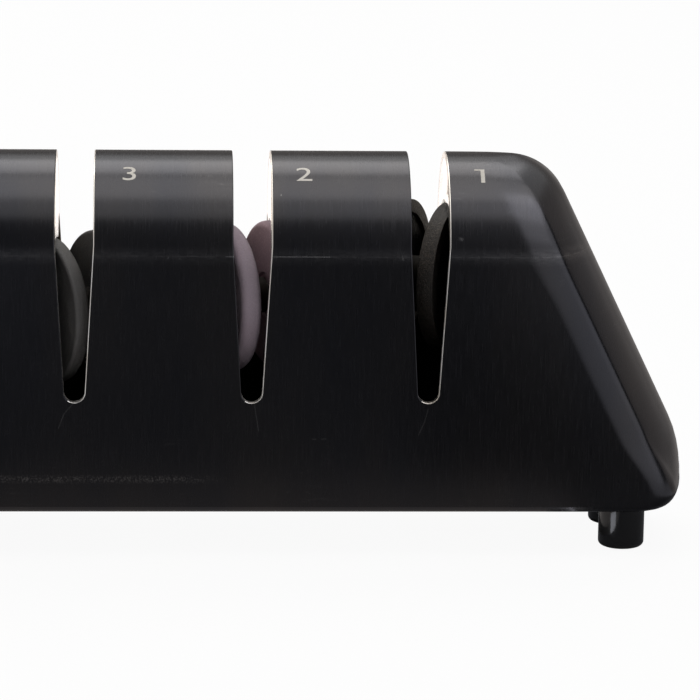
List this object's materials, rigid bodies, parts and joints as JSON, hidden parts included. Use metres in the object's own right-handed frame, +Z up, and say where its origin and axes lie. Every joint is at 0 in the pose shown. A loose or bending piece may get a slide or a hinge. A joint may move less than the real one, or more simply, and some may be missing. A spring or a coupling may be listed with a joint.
{
  "type": "retractable knife sharpener",
  "caption": "Knife sharpener whose metal-clad head, with blade slots over crossed grinding wheels, slides out of a sleeve that serves as its handle.",
  "frame": {"origin": "centre of the underside of the sleeve's base pad, on the surface that the sharpener stands on", "axes": "+X along the slide, towards the free end of the head; +Y to the rear, away from the viewer of the picture; +Z up"},
  "size_m": [0.2106, 0.033, 0.0662],
  "materials": {
    "shell_metal": "black brushed sheet metal, satin",
    "base_plastic": "fine matt",
    "foot": "glossy",
    "cartridge_plastic": "matt, dusty",
    "bright_steel": "ground",
    "diamond_wheel": "diamond-coated rim, sparkling grit",
    "coarse_ceramic": "unglazed, coarse",
    "fine_ceramic": "unglazed, fine",
    "sleeve_plastic": "fine matt grain",
    "pad_rubber": "soft matt",
    "button_plastic": "satin"
  },
  "bodies": {
    "sleeve": {"sleeve_shell": "sleeve_plastic", "sleeve_cap": "sleeve_plastic", "base_pad": "pad_rubber", "stop_pin": "bright_steel", "button_collar": "button_plastic", "lock_spring": "bright_steel"},
    "head": {"head_shell": "shell_metal", "head_base": "base_plastic", "tail_block": "base_plastic", "foot_front": "foot", "foot_rear": "foot", "cartridge_1": "cartridge_plastic", "cartridge_2": "cartridge_plastic", "cartridge_3": "cartridge_plastic", "axle_1": "bright_steel", "axle_2": "bright_steel", "axle_3": "bright_steel", "spacer_1": "bright_steel", "spacer_2": "bright_steel", "spacer_3": "bright_steel", "cartridge_screws": "bright_steel", "tail_screws": "bright_steel"},
    "button": {"lock_button": "button_plastic"},
    "stage_1_left": {"wheel_1_left": "diamond_wheel"},
    "stage_1_right": {"wheel_1_right": "diamond_wheel"},
    "stage_2_left": {"wheel_2_left": "coarse_ceramic"},
    "stage_2_right": {"wheel_2_right": "coarse_ceramic"},
    "stage_3_left": {"wheel_3_left": "fine_ceramic"},
    "stage_3_right": {"wheel_3_right": "fine_ceramic"}
  },
  "joints": [
    {"name": "head_slide", "type": "slide", "parent": "sleeve", "child": "head", "axis": [1, 0, 0], "range_m": [-0.081, 0]},
    {"name": "button_press", "type": "slide", "parent": "sleeve", "child": "button", "axis": [0, 0, -1], "range_m": [0, 0.002], "stiffness_N_per_m": 300, "springref_m": -0.001, "deforming": ["lock_spring"]},
    {"name": "wheel_1_left_spin", "type": "hinge", "parent": "head", "child": "stage_1_left", "pos_m": [0.1181, 0, 0.0379], "axis": [0.9135, -0.4067, 0], "continuous": true},
    {"name": "wheel_1_right_spin", "type": "hinge", "parent": "head", "child": "stage_1_right", "pos_m": [0.1181, 0, 0.0379], "axis": [0.9135, -0.4067, 0], "continuous": true},
    {"name": "wheel_2_left_spin", "type": "hinge", "parent": "head", "child": "stage_2_left", "pos_m": [0.0935, 0, 0.0347], "axis": [0.9397, 0.342, 0], "continuous": true},
    {"name": "wheel_2_right_spin", "type": "hinge", "parent": "head", "child": "stage_2_right", "pos_m": [0.0935, 0, 0.0347], "axis": [0.9397, 0.342, 0], "continuous": true},
    {"name": "wheel_3_left_spin", "type": "hinge", "parent": "head", "child": "stage_3_left", "pos_m": [0.0689, 0, 0.0331], "axis": [0.866, 0.5, 0], "continuous": true},
    {"name": "wheel_3_right_spin", "type": "hinge", "parent": "head", "child": "stage_3_right", "pos_m": [0.0689, 0, 0.0331], "axis": [0.866, 0.5, 0], "continuous": true}
  ]
}
